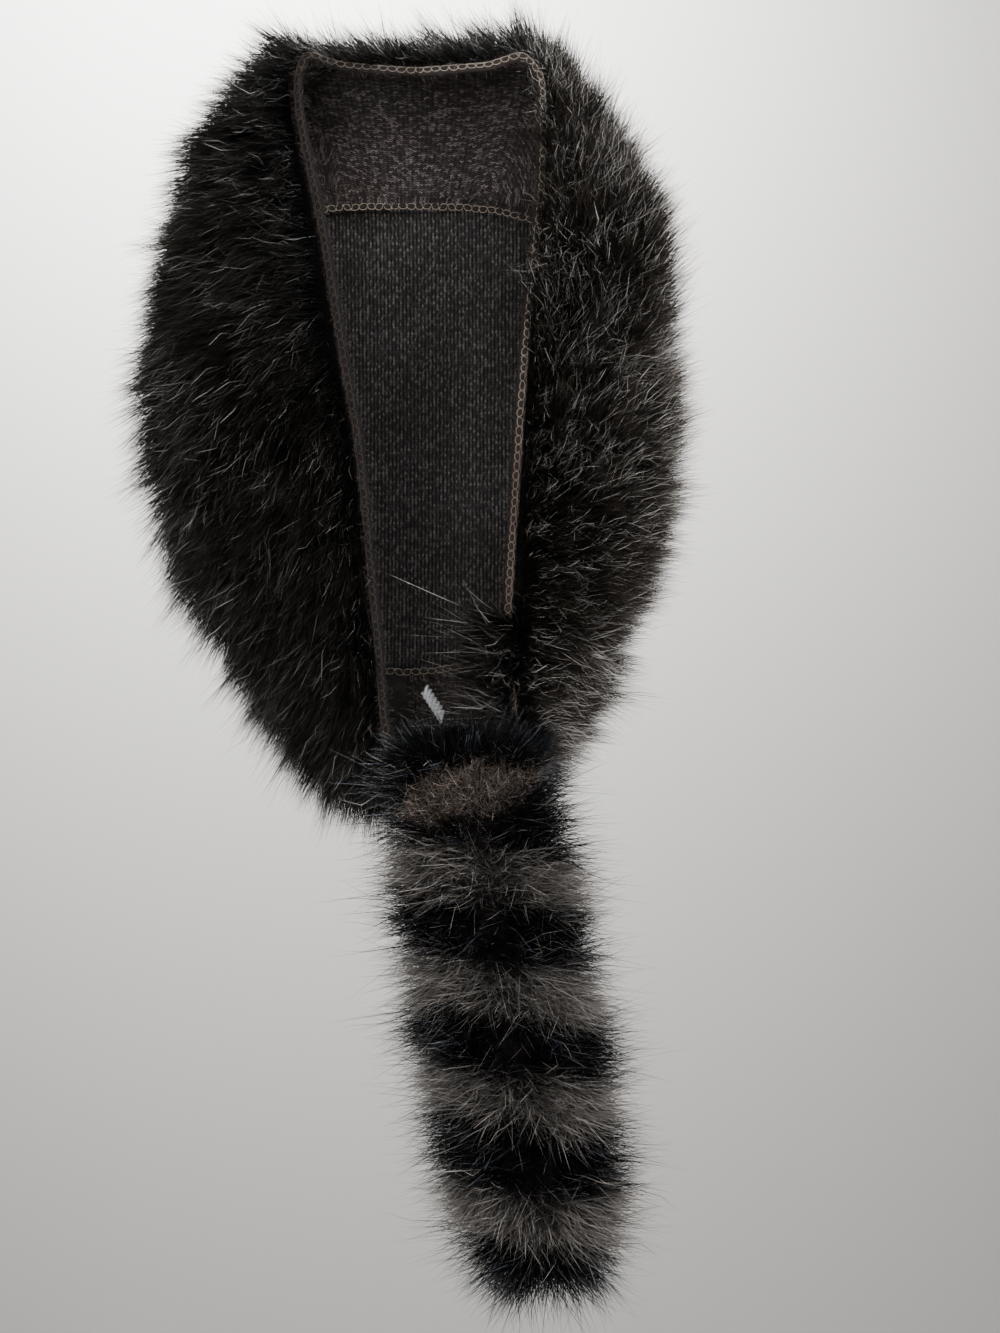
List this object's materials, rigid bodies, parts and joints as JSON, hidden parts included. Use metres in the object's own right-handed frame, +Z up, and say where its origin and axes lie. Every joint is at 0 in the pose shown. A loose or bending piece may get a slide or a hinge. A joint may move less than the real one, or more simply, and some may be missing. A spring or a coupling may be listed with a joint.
{
  "type": "coonskin cap",
  "caption": "Faux-fur cap with a deep round crown, a knitted inside and a striped tail, hung by its front rim with its mouth facing forward.",
  "frame": {"origin": "middle of the front rim, where the cap is held up", "axes": "+Z up as it hangs, -Y out of the mouth, +X to the right seen from in front of the mouth"},
  "size_m": [0.1986, 0.1452, 0.4245],
  "materials": {
    "knit_backing": "plain knitted backing, matt",
    "cap_fur": "deep dark brown pile with lighter tips",
    "tail_fur": "deep pile in black and grey-brown stripes",
    "seam_thread": "brown overlock thread",
    "white_thread": "twisted white thread"
  },
  "bodies": {
    "root": {"band_backing": "knit_backing", "crown_backing": "knit_backing", "rim_edge": "seam_thread", "band_pile": "cap_fur", "crown_pile": "cap_fur", "tail_core": "knit_backing", "tail_pile": "tail_fur", "bar_tack": "white_thread"}
  },
  "joints": []
}
